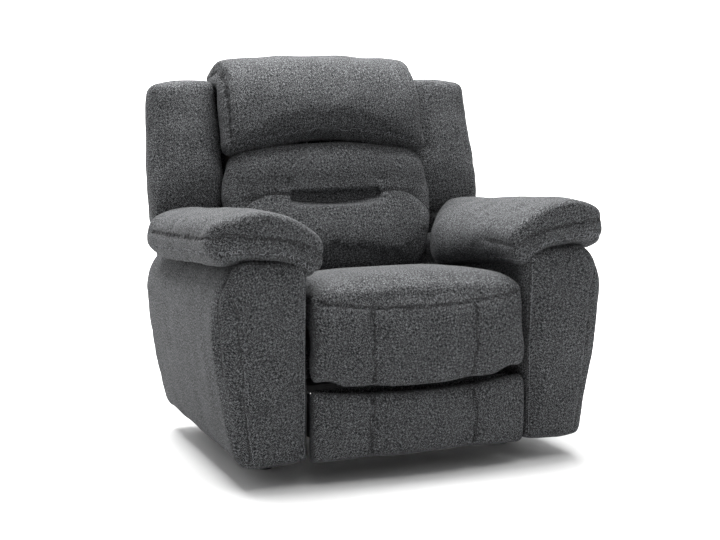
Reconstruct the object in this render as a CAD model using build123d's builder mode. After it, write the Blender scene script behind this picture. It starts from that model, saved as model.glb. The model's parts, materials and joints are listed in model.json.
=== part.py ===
from build123d import *
import math
import os

# Power recliner armchair.  Millimetres, floor at Z = 0, the sitter faces -Y, +X is the sitter's left.

os.makedirs("parts", exist_ok=True)

SIDES = {"left": 1, "right": -1}

# ---- arms -----------------------------------------------------------------
ARM_FRONT, ARM_REAR = -435, 248
ARM_BOTTOM, ARM_TOP = 66, 551
ARM_INNER = 283                      # inner upholstered face, distance from the middle
FRAME_IN, FRAME_OUT = 293, 429       # plywood box inside each arm
FRAME_BOTTOM, PLY = 70, 15
PAD_FRONT, PAD_REAR = -466, 205
PAD_NOSE = 22                        # length over which the front end of a pad closes in
PAD_CENTRE = (385, 600)
PAD_BED = 552.5                      # underside of a pad at its front
ARM_FALL = 3.5                       # degrees by which arm tops and pads fall towards the rear
FEET_Y = (-230, 205)
FOOT_X = 330

# ---- mechanism layers, distance from the middle ---------------------------
RAIL = (267.7, 282.7)                # fixed channel screwed to the arm
SEAT_PLATE = (257, 261)
OUTER_LINK = (251.5, 255.5)
INNER_LINK = (246, 250)
PIN_R, HEAD_R, STUB_R = 5, 8, 6
RUN = 0.05                           # radial play of every pivot
BAR_W = 22
RIVET = (((INNER_LINK[0] - 0.3, OUTER_LINK[0]), PIN_R),
         ((INNER_LINK[0] - 2.3, INNER_LINK[0] - 0.3), HEAD_R))

# ---- footrest linkage -----------------------------------------------------
LINK = 172
P1 = (-250, 212)                     # first pivot, on the seat plate
DIR_A, DIR_B = -95, 65               # folded directions of the two link families
FOOT_PAD_Z = (62, 235)
FOOT_HALF = 272
CRANK = 70

# ---- seat carriage --------------------------------------------------------
SEAT_HALF = 268
SEAT_RAIL_Z = (320, 372)
SEAT_REAR = 140
SEAT_BOLTS = [(y, 356) for y in (-300, -140, 20)]

# ---- backrest -------------------------------------------------------------
HINGE = (175, 330)                   # recline pivot, Y and Z
LEAN = 10.5                          # lean of the upright back, degrees
LEVER = 90
LEVER_ANGLE = 20
BACK_BOLTS = (120, 190)              # distances up the lean
PILLOW_ARCH, ARCH_R = 462, 1400      # lower edge of the head pillow: middle height and radius


def save(piece, label):
    piece.part.label = label
    export_step(piece.part, f"parts/{label}.step")


def heading(angle):
    """Unit step in Y and Z: 0 is straight ahead, positive is up."""
    a = math.radians(angle)
    return -math.cos(a), math.sin(a)


def step(point, angle, length):
    dy, dz = heading(angle)
    return point[0] + dy * length, point[1] + dz * length


def layer_plane(side, layer):
    """Y-Z sketch plane on the low-X face of a layer given as distances from the middle."""
    return Plane.YZ.offset(layer[0] if side > 0 else -layer[1])


def thick(layer):
    return layer[1] - layer[0]


def arm_side(y0, y1, z0, below):
    """Side view that stays a distance below the sloping arm top."""
    fall = math.tan(math.radians(ARM_FALL))
    tops = [(y, ARM_TOP - below - (y - PAD_FRONT) * fall) for y in (y1, y0)]
    return [(y0, z0), (y1, z0), *tops]


def pad_plane(behind):
    """Section plane across a pad, a distance behind its front, square to the sloping arm top."""
    a = math.radians(ARM_FALL)
    up = PAD_BED * math.sin(a), PAD_BED * math.cos(a)
    origin = (0, PAD_FRONT + behind * math.cos(a) - up[0], PAD_BED - behind * math.sin(a) - up[1])
    return Plane(origin=origin, x_dir=(1, 0, 0), z_dir=(0, -math.cos(a), math.sin(a)))


P2 = step(P1, DIR_A, LINK)
P3 = step(P2, DIR_B, LINK)
MID1 = step(P1, DIR_A, LINK / 2)
MID2 = step(P2, DIR_B, LINK / 2)
P1B = step(MID1, DIR_B, -LINK / 2)
P2B = step(MID1, DIR_B, LINK / 2)
P3B = step(MID2, DIR_A, LINK / 2)
PC = step(P3, DIR_A, LINK / 2)

t = math.radians(LEAN)
BACK = Plane(origin=(0, *HINGE), x_dir=(1, 0, 0), z_dir=(0, -math.cos(t), math.sin(t)))

# Bolts that tie the fixed steelwork to the two arm frames, as Y and Z.
RAIL_BOLTS = [(-328, 303), (-180, 303), (-40, 303), (145, 303)]
TUBE_Y = (-130, 150)
TUBE_Z = 100
TUBE_BOLTS = [(y + dy, TUBE_Z) for y in TUBE_Y for dy in (-27, 27)]
PANEL_BOLTS = [(215, 130), (215, 215)]
FRAME_BOLTS = RAIL_BOLTS + TUBE_BOLTS + PANEL_BOLTS

# Control panel on the outside of the sitter's left arm.
PANEL_Y, PANEL_Z = -250, 415
BUTTON_YS = [PANEL_Y + 27 * k for k in (-1.5, -0.5, 0.5, 1.5)]


# Front views as X and Z: the arm is flat inside, bulges outside and is waisted towards the floor;
# its pad is crowned, thin outside, and hangs over the inner face.
ARM_FLAT = [(444, ARM_BOTTOM), (ARM_INNER, ARM_BOTTOM), (ARM_INNER, ARM_TOP), (455, ARM_TOP)]
ABOVE_ARM = [(ARM_INNER - 10, ARM_TOP - 28), (ARM_INNER + 18, ARM_TOP), (448, ARM_TOP),
             (530, ARM_TOP - 34), (530, ARM_TOP + 60), (ARM_INNER - 10, ARM_TOP + 60)]
ARM_BULGE = [(455, ARM_TOP), (482, 500), (494, 420), (491, 320), (471, 180), (444, ARM_BOTTOM)]
PAD_CROWN = [(455, 552.5), (500, 556), (521, 574), (525, 596), (512, 630), (470, 653), (400, 663),
             (330, 655), (286, 630), (265, 592), (258, 552), (259, 525), (267, 512)]
PAD_UNDER = [(267, 512), (279, 514), (282.3, 530), (282.3, 538), (299, 552.5), (455, 552.5)]


def across(side, outline, shrink=1):
    """Outline for one side, optionally drawn in towards the middle of the pad."""
    cx, cz = PAD_CENTRE
    return [(side * (cx + shrink * (x - cx)), cz + shrink * (z - cz)) for x, z in outline]


def build_arm(name, side):
    with BuildPart() as cover:
        with BuildSketch(Plane.XZ.offset(-ARM_REAR)):
            with BuildLine():
                Polyline(*across(side, ARM_FLAT))
                Spline(*across(side, ARM_BULGE))
            make_face()
        extrude(amount=ARM_REAR - ARM_FRONT)
        with BuildSketch(pad_plane(ARM_REAR - PAD_FRONT + 20)):
            Polygon(*across(side, ABOVE_ARM), align=None)
        extrude(amount=ARM_REAR - ARM_FRONT + 60, mode=Mode.SUBTRACT)
        chamfer(cover.faces().sort_by(Axis.Y)[0].edges().filter_by_position(
            Axis.Z, ARM_BOTTOM + 1, ARM_TOP + 1), 10)
        with BuildSketch(layer_plane(side, (FRAME_IN - 1, FRAME_OUT + 1))):
            Polygon(*arm_side(ARM_FRONT + 24, ARM_REAR - 12, ARM_BOTTOM - 1, 16), align=None)
        extrude(amount=FRAME_OUT - FRAME_IN + 2, mode=Mode.SUBTRACT)
        with BuildSketch(layer_plane(side, (ARM_INNER - 5, FRAME_IN + 5))):
            with Locations(*FRAME_BOLTS):
                Circle(4.5)
        extrude(amount=FRAME_IN - ARM_INNER + 10, mode=Mode.SUBTRACT)
        if side > 0:
            with Locations((485, PANEL_Y, PANEL_Z)):
                Box(30, 119, 43, mode=Mode.SUBTRACT)
    save(cover, f"arm_cover_{name}")

    with BuildPart() as frame:
        front, rear = ARM_FRONT + 25, ARM_REAR - 13
        with BuildSketch(layer_plane(side, (FRAME_IN, FRAME_OUT))):
            Polygon(*arm_side(front, rear, FRAME_BOTTOM, 21), align=None)
        extrude(amount=FRAME_OUT - FRAME_IN)
        with BuildSketch(layer_plane(side, (FRAME_IN + PLY, FRAME_OUT - PLY))):
            Polygon(*arm_side(front + PLY, rear - PLY, FRAME_BOTTOM + PLY, 21 + PLY), align=None)
        extrude(amount=FRAME_OUT - FRAME_IN - 2 * PLY, mode=Mode.SUBTRACT)
        with BuildSketch(layer_plane(side, (FRAME_IN - 1, FRAME_OUT + 1))):
            mid_y = (front + rear) / 2
            with Locations(*[(mid_y + dy, z) for dy in (-155, 155) for z in (200, 400)]):
                RectangleRounded(250, 110, 12)
        extrude(amount=FRAME_OUT - FRAME_IN + 2, mode=Mode.SUBTRACT)
        with BuildSketch(layer_plane(side, (FRAME_IN - 1, FRAME_IN + 20))):
            with Locations(*FRAME_BOLTS):
                Circle(4.2)
        extrude(amount=21, mode=Mode.SUBTRACT)
        with Locations(*[(side * FOOT_X, y, 77) for y in FEET_Y]):
            Cylinder(4.2, 20, mode=Mode.SUBTRACT)
    save(frame, f"arm_frame_{name}")

    with BuildPart() as pad:
        with BuildSketch(pad_plane(PAD_REAR - PAD_FRONT)):
            with BuildLine():
                Spline(*across(side, PAD_CROWN))
                Polyline(*across(side, PAD_UNDER))
            make_face()
        extrude(amount=PAD_REAR - PAD_FRONT - PAD_NOSE)
        for behind, shrink in ((PAD_NOSE, 1), (0, 0.84)):
            with BuildSketch(pad_plane(behind)):
                with BuildLine():
                    Spline(*across(side, PAD_CROWN, shrink))
                    Polyline(*across(side, PAD_UNDER, shrink))
                make_face()
        loft()
    save(pad, f"arm_pad_{name}")


def build_feet_and_bolts():
    with BuildPart() as feet:
        spots = [(s * FOOT_X, y) for s in SIDES.values() for y in FEET_Y]
        with BuildSketch(Plane.XY):
            with Locations(*spots):
                Circle(20)
        extrude(amount=12)
        with BuildSketch(Plane.XY.offset(12)):
            with Locations(*spots):
                Circle(26)
        extrude(amount=57.7)
        with BuildSketch(Plane.XY.offset(69.7)):
            with Locations(*spots):
                Circle(4)
        extrude(amount=14)
    save(feet, "feet")

    with BuildPart() as bolts:
        for side in SIDES.values():
            for layer, radius in (((275, 279.5), 6.5), ((279.5, 305), 4)):
                with BuildSketch(layer_plane(side, layer)):
                    with Locations(*FRAME_BOLTS):
                        Circle(radius)
                extrude(amount=thick(layer))
    save(bolts, "frame_bolts")


def build_fixed_steel():
    for name, side in SIDES.items():
        with BuildPart() as rail:
            for layer, rows in ((RAIL, ((290, 293), (313, 316))), ((279.7, RAIL[1]), ((290, 316),))):
                with BuildSketch(layer_plane(side, layer)):
                    for z0, z1 in rows:
                        with Locations(((-340 + 160) / 2, (z0 + z1) / 2)):
                            Rectangle(500, z1 - z0)
                extrude(amount=thick(layer))
            with BuildSketch(layer_plane(side, (278, 284))):
                with Locations(*RAIL_BOLTS):
                    Circle(4.2)
            extrude(amount=6, mode=Mode.SUBTRACT)
        save(rail, f"base_rail_{name}")

    for name, y in zip(("front", "rear"), TUBE_Y):
        with BuildPart() as tube:
            with Locations((0, y, TUBE_Z)):
                Box(2 * 279.7, 25, 25)
            for side in SIDES.values():
                with Locations((side * 281.2, y, TUBE_Z)):
                    Box(3, 74, 34)
            with Locations((0, y, TUBE_Z)):
                Box(600, 21, 21, mode=Mode.SUBTRACT)
            with BuildSketch(Plane.YZ.offset(-290)):
                with Locations(*TUBE_BOLTS):
                    Circle(4.2)
            extrude(amount=580, mode=Mode.SUBTRACT)
        save(tube, f"base_tube_{name}")

    with BuildPart() as panel:
        with Locations((0, 243, 162.5)):
            Box(2 * 282.7, 10, 185)
        for side in SIDES.values():
            with Locations((side * 281.2, 219, 172.5)):
                Box(3, 38.1, 125)
        with BuildSketch(Plane.YZ.offset(-290)):
            with Locations(*PANEL_BOLTS):
                Circle(4.2)
        extrude(amount=580, mode=Mode.SUBTRACT)
        with Locations((-120, 243, 110)):
            Box(31, 12, 21, mode=Mode.SUBTRACT)
    save(panel, "rear_panel")

    with BuildPart() as inlet:
        with Locations((-120, 238.5, 110)):
            Box(30, 19, 20)
        with Locations((-120, 249.5, 110)):
            Box(42, 3, 28)
        fillet(inlet.faces().sort_by(Axis.Y)[-1].edges().filter_by(Axis.Y, reverse=True), 1)
        with BuildSketch(Plane.XZ.offset(-251)):
            with Locations((-120, 110)):
                Circle(5)
                Circle(1.2, mode=Mode.SUBTRACT)
        extrude(amount=14, mode=Mode.SUBTRACT)
    save(inlet, "power_inlet")


def build_controls():
    with BuildPart() as bezel:
        with Locations((481, PANEL_Y, PANEL_Z)):
            Box(20, 118, 42)
        with Locations((497, PANEL_Y, PANEL_Z)):
            Box(4, 132, 54)
        fillet(bezel.faces().sort_by(Axis.X)[-1].edges(), 2)
        with Locations((493, PANEL_Y, PANEL_Z)):
            Box(6, 118, 42)
        with BuildSketch(Plane.YZ.offset(479)):
            with Locations(*[(y, PANEL_Z) for y in BUTTON_YS]):
                Circle(9.4)
        extrude(amount=25, mode=Mode.SUBTRACT)
    save(bezel, "control_bezel")

    for index, y in enumerate(BUTTON_YS, 1):
        with BuildPart() as button:
            with Locations((492, y, PANEL_Z)):
                Cylinder(9, 18, rotation=(0, 90, 0))
            fillet(button.faces().sort_by(Axis.X)[-1].edges(), 1.5)
        save(button, f"button_{index}")


def build_seat():
    front, rear = -394, SEAT_REAR
    low, high = SEAT_RAIL_Z
    with BuildPart() as frame:
        with BuildSketch(Plane.XY.offset(low)):
            with Locations((0, (front + rear) / 2)):
                Rectangle(510, rear - front)
            with Locations((0, (front + rear) / 2)):
                Rectangle(450, rear - front - 60, mode=Mode.SUBTRACT)
        extrude(amount=high - low)
        for y in (-100, 80):
            with Locations((0, y, low + 12.5)):
                Box(460, 40, 25)
        with Locations((0, front - 9, 321)):
            Box(524, 18.1, 118)
        with BuildSketch(Plane.YZ.offset(-256)):
            with Locations(*SEAT_BOLTS):
                Circle(3.2)
        extrude(amount=512, mode=Mode.SUBTRACT)
    save(frame, "seat_frame")

    spring_front, spring_rear, wire = front + 4, rear - 6, 1.9
    with BuildPart() as springs:
        for x in (-160, -80, 0, 80, 160):
            turns = 13
            pitch = (spring_rear - spring_front) / turns
            points = []
            for k in range(turns):
                reach = 26 if k % 2 else -26
                points += [(x + reach, spring_front + pitch * (k + 0.12)),
                           (x + reach, spring_front + pitch * (k + 0.88))]
            with BuildLine(Plane.XY.offset(high + wire + 3)) as path:
                FilletPolyline(*points, radius=7)
            with BuildSketch(Plane(origin=path.line @ 0, z_dir=path.line % 0)):
                Circle(wire)
            sweep(path=path.line)
    save(springs, "seat_springs")

    with BuildPart() as cushion:
        with BuildSketch(Plane.YZ.offset(-SEAT_HALF)):
            with BuildLine():
                Polyline((-446, 438), (-390, 438), (-390, 380), (90, 380), (90, 404))
                Spline((90, 404), (40, 415), (-80, 462), (-220, 494), (-370, 503), (-430, 490),
                       (-452, 464), (-446, 438))
            make_face()
        extrude(amount=2 * SEAT_HALF)
        chamfer(cushion.edges().group_by(SortBy.LENGTH)[-1].filter_by(Axis.X, reverse=True), 22)
    save(cushion, "seat_cushion")

    with BuildPart() as panel:
        with BuildSketch(Plane.XY.offset(251)):
            with BuildLine():
                Polyline((SEAT_HALF, -438), (SEAT_HALF, -412.6), (-SEAT_HALF, -412.6), (-SEAT_HALF, -438))
                ThreePointArc((-SEAT_HALF, -438), (0, -455), (SEAT_HALF, -438))
            make_face()
        extrude(amount=186)
        chamfer(panel.faces().sort_by(Axis.Z)[0].edges().group_by(Axis.Y)[0], 10)
    save(panel, "seat_front_panel")


def build_seat_plates():
    outline = [(-330, 366), (-330, 300), (-278, 196), (-222, 196), (-190, 288), (120, 288),
               (150, 304), (200, 304), (206, 352), (190, 366)]
    for name, side in SIDES.items():
        with BuildPart() as plate:
            with BuildSketch(layer_plane(side, SEAT_PLATE)):
                Polygon(*outline, align=None)
                with Locations(*SEAT_BOLTS):
                    Circle(3.2, mode=Mode.SUBTRACT)
            extrude(amount=thick(SEAT_PLATE))
            stub = (236, SEAT_PLATE[0])
            with BuildSketch(layer_plane(side, stub)):
                with Locations(P1, HINGE):
                    Circle(STUB_R)
            extrude(amount=thick(stub))
        save(plate, f"seat_plate_{name}")

    with BuildPart() as glides:
        layer = (261.3, 279)
        for side in SIDES.values():
            with BuildSketch(layer_plane(side, layer)):
                with Locations((-240, 303), (100, 303)):
                    Rectangle(40, 19)
            extrude(amount=thick(layer))
    save(glides, "rail_glides")

    with BuildPart() as bolts:
        for side in SIDES.values():
            for layer, radius in (((230, 261.2), 3), ((261.2, 265), 6)):
                with BuildSketch(layer_plane(side, layer)):
                    with Locations(*SEAT_BOLTS):
                        Circle(radius)
                extrude(amount=thick(layer))
    save(bolts, "seat_bolts")


def bar(side, layer, ends, holes=(), pins=(), hole_r=PIN_R + RUN):
    """Flat link with round ends, running holes, and riveted pins that point to the middle."""
    (y0, z0), (y1, z1) = ends
    with BuildPart() as link:
        with BuildSketch(layer_plane(side, layer)):
            with Locations(((y0 + y1) / 2, (z0 + z1) / 2)):
                SlotCenterToCenter(math.hypot(y1 - y0, z1 - z0), BAR_W,
                                   rotation=math.degrees(math.atan2(z1 - z0, y1 - y0)))
            for point in holes:
                with Locations(point):
                    Circle(hole_r, mode=Mode.SUBTRACT)
        extrude(amount=thick(layer))
        for rivet, radius in RIVET if pins else ():
            with BuildSketch(layer_plane(side, rivet)):
                with Locations(*pins):
                    Circle(radius)
            extrude(amount=thick(rivet))
    return link


def build_footrest():
    for name, side in SIDES.items():
        save(bar(side, OUTER_LINK, (P1, P2), holes=[P1], pins=[MID1, P2], hole_r=STUB_R + RUN),
             f"link_drive_{name}")
        save(bar(side, INNER_LINK, (P2, P3), holes=[P2, MID2, P3]), f"link_long_{name}")
        save(bar(side, INNER_LINK, (P1B, P2B), holes=[MID1, P2B]), f"link_cross_{name}")
        save(bar(side, OUTER_LINK, (P2B, P3B), pins=[P2B, MID2, P3B]), f"link_outer_{name}")
        save(bar(side, INNER_LINK, (P3B, PC), holes=[P3B, PC]), f"link_tip_{name}")

        with BuildPart() as bracket:
            top, low = P3, PC
            with BuildSketch(layer_plane(side, OUTER_LINK)):
                Polygon((top[0], top[1] + 11), (-391.7, top[1] + 11), (-391.7, low[1] - 11),
                        (low[0], low[1] - 11), align=None)
                with Locations(top, low):
                    Circle(11)
                with Locations(((top[0] + low[0]) / 2, (top[1] + low[1]) / 2)):
                    SlotCenterToCenter(LINK / 2, BAR_W,
                                       rotation=math.degrees(math.atan2(top[1] - low[1], top[0] - low[0])))
            extrude(amount=thick(OUTER_LINK))
            for rivet, radius in RIVET:
                with BuildSketch(layer_plane(side, rivet)):
                    with Locations(top, low):
                        Circle(radius)
                extrude(amount=thick(rivet))
            flange = (222, OUTER_LINK[1])
            with BuildSketch(layer_plane(side, flange)):
                with Locations((-389.7, (top[1] + low[1]) / 2)):
                    Rectangle(4, top[1] - low[1] + 22)
            extrude(amount=thick(flange))
        save(bracket, f"footrest_bracket_{name}")

    crank_end = step(P1, DIR_A - 40, CRANK)
    save(crank_tube(P1, crank_end, 10, 32), "footrest_crank")

    with BuildPart() as board:
        with BuildSketch(Plane.XZ.offset(392)):
            with Locations((0, 150)):
                RectangleRounded(520, 150, 10)
        extrude(amount=12)
    save(board, "footrest_board")

    low, high = FOOT_PAD_Z
    with BuildPart() as pad:
        with BuildSketch(Plane.XY.offset(low)):
            with BuildLine():
                Polyline((FOOT_HALF, -443), (FOOT_HALF, -404.6), (-FOOT_HALF, -404.6), (-FOOT_HALF, -443))
                ThreePointArc((-FOOT_HALF, -443), (0, -468), (FOOT_HALF, -443))
            make_face()
        extrude(amount=high - low)
        chamfer(pad.faces().sort_by(Axis.Z)[-1].edges().group_by(Axis.Y)[-1], 14)
        chamfer(pad.faces().sort_by(Axis.Z)[-1].edges().group_by(Axis.Y)[0], 9)
        chamfer(pad.faces().sort_by(Axis.Z)[0].edges().group_by(Axis.Y)[0], 12)
    save(pad, "footrest_pad")


def crank_tube(centre, end, tube_r, crank_x):
    """Cross tube turning on the two stubs, with a crank plate and its drive pin."""
    with BuildPart() as tube:
        with BuildSketch(Plane.YZ.offset(-251.3)):
            with Locations(centre):
                Circle(tube_r)
        extrude(amount=502.6)
        with BuildSketch(Plane.YZ.offset(crank_x)):
            with Locations(((centre[0] + end[0]) / 2, (centre[1] + end[1]) / 2)):
                SlotCenterToCenter(math.dist(centre, end), 20,
                                   rotation=math.degrees(math.atan2(end[1] - centre[1], end[0] - centre[0])))
            with Locations(centre):
                Circle(tube_r + 5)
        extrude(amount=6)
        with BuildSketch(Plane.YZ.offset(-251.3)):
            with Locations(centre):
                Circle(STUB_R + 1)
        extrude(amount=502.6, mode=Mode.SUBTRACT)
        with BuildSketch(Plane.YZ.offset(crank_x - 8)):
            with Locations(end):
                Circle(4)
        extrude(amount=8)
    return tube


def actuator(label, centre_x, rail_z, rail_y, motor_y, nut_y, lug_y):
    """Motor with its guide rail, and the nut whose upright slot takes the crank pin."""
    with BuildPart() as motor:
        with Locations((centre_x, sum(rail_y) / 2, rail_z)):
            Box(26, rail_y[1] - rail_y[0], 20)
        mid = sum(motor_y) / 2
        with Locations((centre_x, mid, rail_z)):
            Box(60, motor_y[1] - motor_y[0], 54)
        with Locations((centre_x - 28, mid, rail_z)):
            Cylinder(24, motor_y[1] - motor_y[0] - 20, rotation=(90, 0, 0))
        with Locations((centre_x, lug_y, (rail_z + 319.7) / 2)):
            Box(16, 30, 319.7 - rail_z)
    save(motor, f"{label}_motor")

    with BuildPart() as nut:
        with Locations((centre_x, nut_y, rail_z)):
            Box(44, 44, 40)
        with Locations((centre_x + 25, nut_y, rail_z)):
            Box(6, 44, 52)
        with Locations((centre_x, nut_y, rail_z)):
            Box(27, 60, 21, mode=Mode.SUBTRACT)
        with BuildSketch(Plane.YZ.offset(centre_x + 22)):
            with Locations((nut_y, rail_z)):
                SlotCenterToCenter(26, 15, rotation=90)
        extrude(amount=7, mode=Mode.SUBTRACT)
    save(nut, f"{label}_nut")


def back_block(label, outline, depth, edge=0, thinner=0):
    """Prism on the leaning back: outline across and up the back, depth towards the front.
    Its front can lean away, so that it is thinner at the top than at the bottom."""
    with BuildPart() as block:
        with BuildSketch(BACK.offset(depth[0])):
            Polygon(*outline, align=None)
        extrude(amount=depth[1] - depth[0])
        if thinner:
            low, high, front = outline[0][1], max(s for _, s in outline), depth[1]
            with BuildSketch(Plane.YZ.offset(-500)):
                Polygon(yz(low - 1, front), yz(high + 1, front - thinner), yz(high + 1, front + 60),
                        yz(low - 1, front + 60), align=None)
            extrude(amount=1000, mode=Mode.SUBTRACT)
        if edge:
            chamfer(block.faces().sort_by(Axis(BACK.origin, BACK.z_dir))[-1].edges(), edge)
    save(block, label)


def rect(x0, x1, s0, s1):
    return [(x0, s0), (x1, s0), (x1, s1), (x0, s1)]


def build_back():
    with BuildPart() as frame:
        with BuildSketch(BACK.offset(-95)):
            Polygon(*rect(-250, 250, 20, 620), align=None)
            Polygon(*rect(-225, 225, 60, 300), align=None, mode=Mode.SUBTRACT)
            Polygon(*rect(-225, 225, 330, 585), align=None, mode=Mode.SUBTRACT)
        extrude(amount=45)
        with BuildSketch(Plane.YZ.offset(-251)):
            with Locations(*[yz(s, -75) for s in BACK_BOLTS]):
                Circle(3.2)
        extrude(amount=502, mode=Mode.SUBTRACT)
    save(frame, "back_frame")

    with BuildPart() as springs:
        for s in (120, 180, 240, 390, 450, 510):
            turns, left, right = 13, -232, 232
            pitch = (right - left) / turns
            points = []
            for k in range(turns):
                reach = 20 if k % 2 else -20
                points += [(left + pitch * (k + 0.12), s + reach), (left + pitch * (k + 0.88), s + reach)]
            with BuildLine(BACK.offset(-47.6)) as path:
                FilletPolyline(*points, radius=6)
            with BuildSketch(Plane(origin=path.line @ 0, z_dir=path.line % 0)):
                Circle(1.9)
            sweep(path=path.line)
    save(springs, "back_springs")

    back_block("back_board", rect(-440, 440, 255, 600), (-106, -95.4))
    back_block("back_cover", [(-440, 95), (440, 95), (468, 240), (455, 615), (440, 628), (-440, 628),
                              (-455, 615), (-468, 240)], (-106.5, -186))
    for name, side in SIDES.items():
        back_block(f"wing_{name}", [(side * x, s) for x, s in
                                    ((303, 245), (474, 245), (470, 420), (458, 585), (440, 606), (305, 620))],
                   (-95, 4), 12, 34)
        with BuildPart() as bracket:
            with BuildSketch(layer_plane(side, OUTER_LINK)):
                with BuildLine():
                    Polyline((HINGE[0] - 14, HINGE[1] + 6), (HINGE[0] - 6, HINGE[1] - 13),
                             (HINGE[0] + 12, HINGE[1] - 12), *[yz(s, d) for s, d in
                                                               ((22, -90), (215, -90), (215, -60), (70, -55))],
                             close=True)
                make_face()
                with Locations(HINGE):
                    Circle(15)
                    Circle(STUB_R + RUN, mode=Mode.SUBTRACT)
                with Locations(*[yz(s, -75) for s in BACK_BOLTS]):
                    Circle(3.2, mode=Mode.SUBTRACT)
            extrude(amount=thick(OUTER_LINK))
        save(bracket, f"back_bracket_{name}")

    with BuildPart() as bolts:
        for side in SIDES.values():
            for layer, radius in (((228, 255.7), 3), ((255.7, 259.5), 6)):
                with BuildSketch(layer_plane(side, layer)):
                    with Locations(*[yz(s, -75) for s in BACK_BOLTS]):
                        Circle(radius)
                extrude(amount=thick(layer))
    save(bolts, "back_bolts")

    lever_end = step(HINGE, -90 - LEVER_ANGLE, LEVER)
    save(crank_tube(HINGE, lever_end, 10, -38), "back_crank")

    back_block("lumbar_cushion", [(-254, 72), (254, 72), (254, 290), (-254, 290)], (-44, 136), 24)
    arch = [(x, PILLOW_ARCH - 2 - x * x / (2 * ARCH_R)) for x in range(298, -299, -149)]
    back_block("mid_cushion", [(-298, 375), (-254, 292), (254, 292), (298, 375), *arch], (-44, 104), 16)

    with BuildPart() as pillow:
        with BuildSketch(Plane.YZ.offset(-300)):
            with BuildLine():
                Polyline(yz(430, 90), yz(430, -44), yz(622, -44), yz(634, -150))
                Spline(yz(634, -150), yz(668, -140), yz(692, -80), yz(694, 0), yz(660, 72), yz(560, 104),
                       yz(460, 108), yz(430, 90))
            make_face()
        extrude(amount=600)
        with BuildSketch(BACK.offset(-60)):
            with Locations((0, PILLOW_ARCH - ARCH_R)):
                Circle(ARCH_R)
        extrude(amount=200, mode=Mode.SUBTRACT)
    save(pillow, "head_pillow")


def yz(s, d):
    """World Y and Z of a place on the back: s up the lean, d towards the front."""
    return (HINGE[0] + s * math.sin(t) - d * math.cos(t), HINGE[1] + s * math.cos(t) + d * math.sin(t))


for side_name, sign in SIDES.items():
    build_arm(side_name, sign)
build_feet_and_bolts()
build_fixed_steel()
build_controls()
build_seat()
build_seat_plates()
build_footrest()
actuator("footrest", 0, P1[1] - 60, (-335, 30), (25, 150), step(P1, DIR_A - 40, CRANK)[0], 90)
actuator("back", -70, 243, (-30, 228), (-150, -25), step(HINGE, -90 - LEVER_ANGLE, LEVER)[0], -100)
build_back()
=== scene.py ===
"""Looks of the recliner armchair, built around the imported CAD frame."""
import json
import math

import bmesh
import bpy
import numpy as np
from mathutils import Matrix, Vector
from mathutils.bvhtree import BVHTree


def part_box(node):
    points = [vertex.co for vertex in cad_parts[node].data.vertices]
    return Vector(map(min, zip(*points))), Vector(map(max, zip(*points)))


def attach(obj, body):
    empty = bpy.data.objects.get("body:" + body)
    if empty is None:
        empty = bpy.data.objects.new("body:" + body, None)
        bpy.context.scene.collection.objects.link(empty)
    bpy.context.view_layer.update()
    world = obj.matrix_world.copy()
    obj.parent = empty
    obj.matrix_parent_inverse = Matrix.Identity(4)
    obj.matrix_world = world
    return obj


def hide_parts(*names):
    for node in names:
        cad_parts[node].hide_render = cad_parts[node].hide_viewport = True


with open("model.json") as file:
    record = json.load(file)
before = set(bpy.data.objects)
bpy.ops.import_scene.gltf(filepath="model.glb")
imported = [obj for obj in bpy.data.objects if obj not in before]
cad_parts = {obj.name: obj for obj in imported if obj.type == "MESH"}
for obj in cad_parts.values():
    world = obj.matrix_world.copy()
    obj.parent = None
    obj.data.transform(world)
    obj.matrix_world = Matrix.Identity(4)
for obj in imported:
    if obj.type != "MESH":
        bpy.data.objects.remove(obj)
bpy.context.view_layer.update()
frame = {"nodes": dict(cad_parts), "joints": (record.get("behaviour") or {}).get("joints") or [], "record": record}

LEAN = math.radians(10.5)
HINGE = next(j["pos_m"] for j in frame["joints"] if j["name"] == "back_recline")
ARM_NOSE, ARM_SLOPE = -0.466, 0.0612
DASH, GAP = 0.0042, 0.0030


# ---------------------------------------------------------------- mesh tools
def smooth_closed(points, count):
    """Evenly spaced points on a smooth closed curve through the given ones."""
    p = np.array(points, float)
    n = len(p)
    out = []
    for i in range(n):
        a, b, c, d = p[i - 1], p[i], p[(i + 1) % n], p[(i + 2) % n]
        for t in np.linspace(0, 1, 24, endpoint=False):
            out.append(0.5 * ((2 * b) + (c - a) * t + (2 * a - 5 * b + 4 * c - d) * t * t
                              + (3 * b - a - 3 * c + d) * t ** 3))
    return resample(np.array(out), count, closed=True)


def resample(p, count, closed=False):
    q = np.vstack([p, p[:1]]) if closed else p
    seg = np.linalg.norm(np.diff(q, axis=0), axis=1)
    s = np.concatenate([[0], np.cumsum(seg)])
    at = np.linspace(0, s[-1], count, endpoint=not closed)
    return np.stack([np.interp(at, s, q[:, k]) for k in range(p.shape[1])], axis=1)


def inset(ring, amount):
    """Closed 2-D curve moved inwards."""
    tangent = np.roll(ring, -1, axis=0) - np.roll(ring, 1, axis=0)
    tangent /= np.linalg.norm(tangent, axis=1, keepdims=True) + 1e-12
    normal = np.stack([tangent[:, 1], -tangent[:, 0]], axis=1)
    x, y = ring[:, 0], ring[:, 1]
    if np.sum(x * np.roll(y, -1) - np.roll(x, -1) * y) < 0:
        normal = -normal
    return ring - normal * amount


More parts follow.
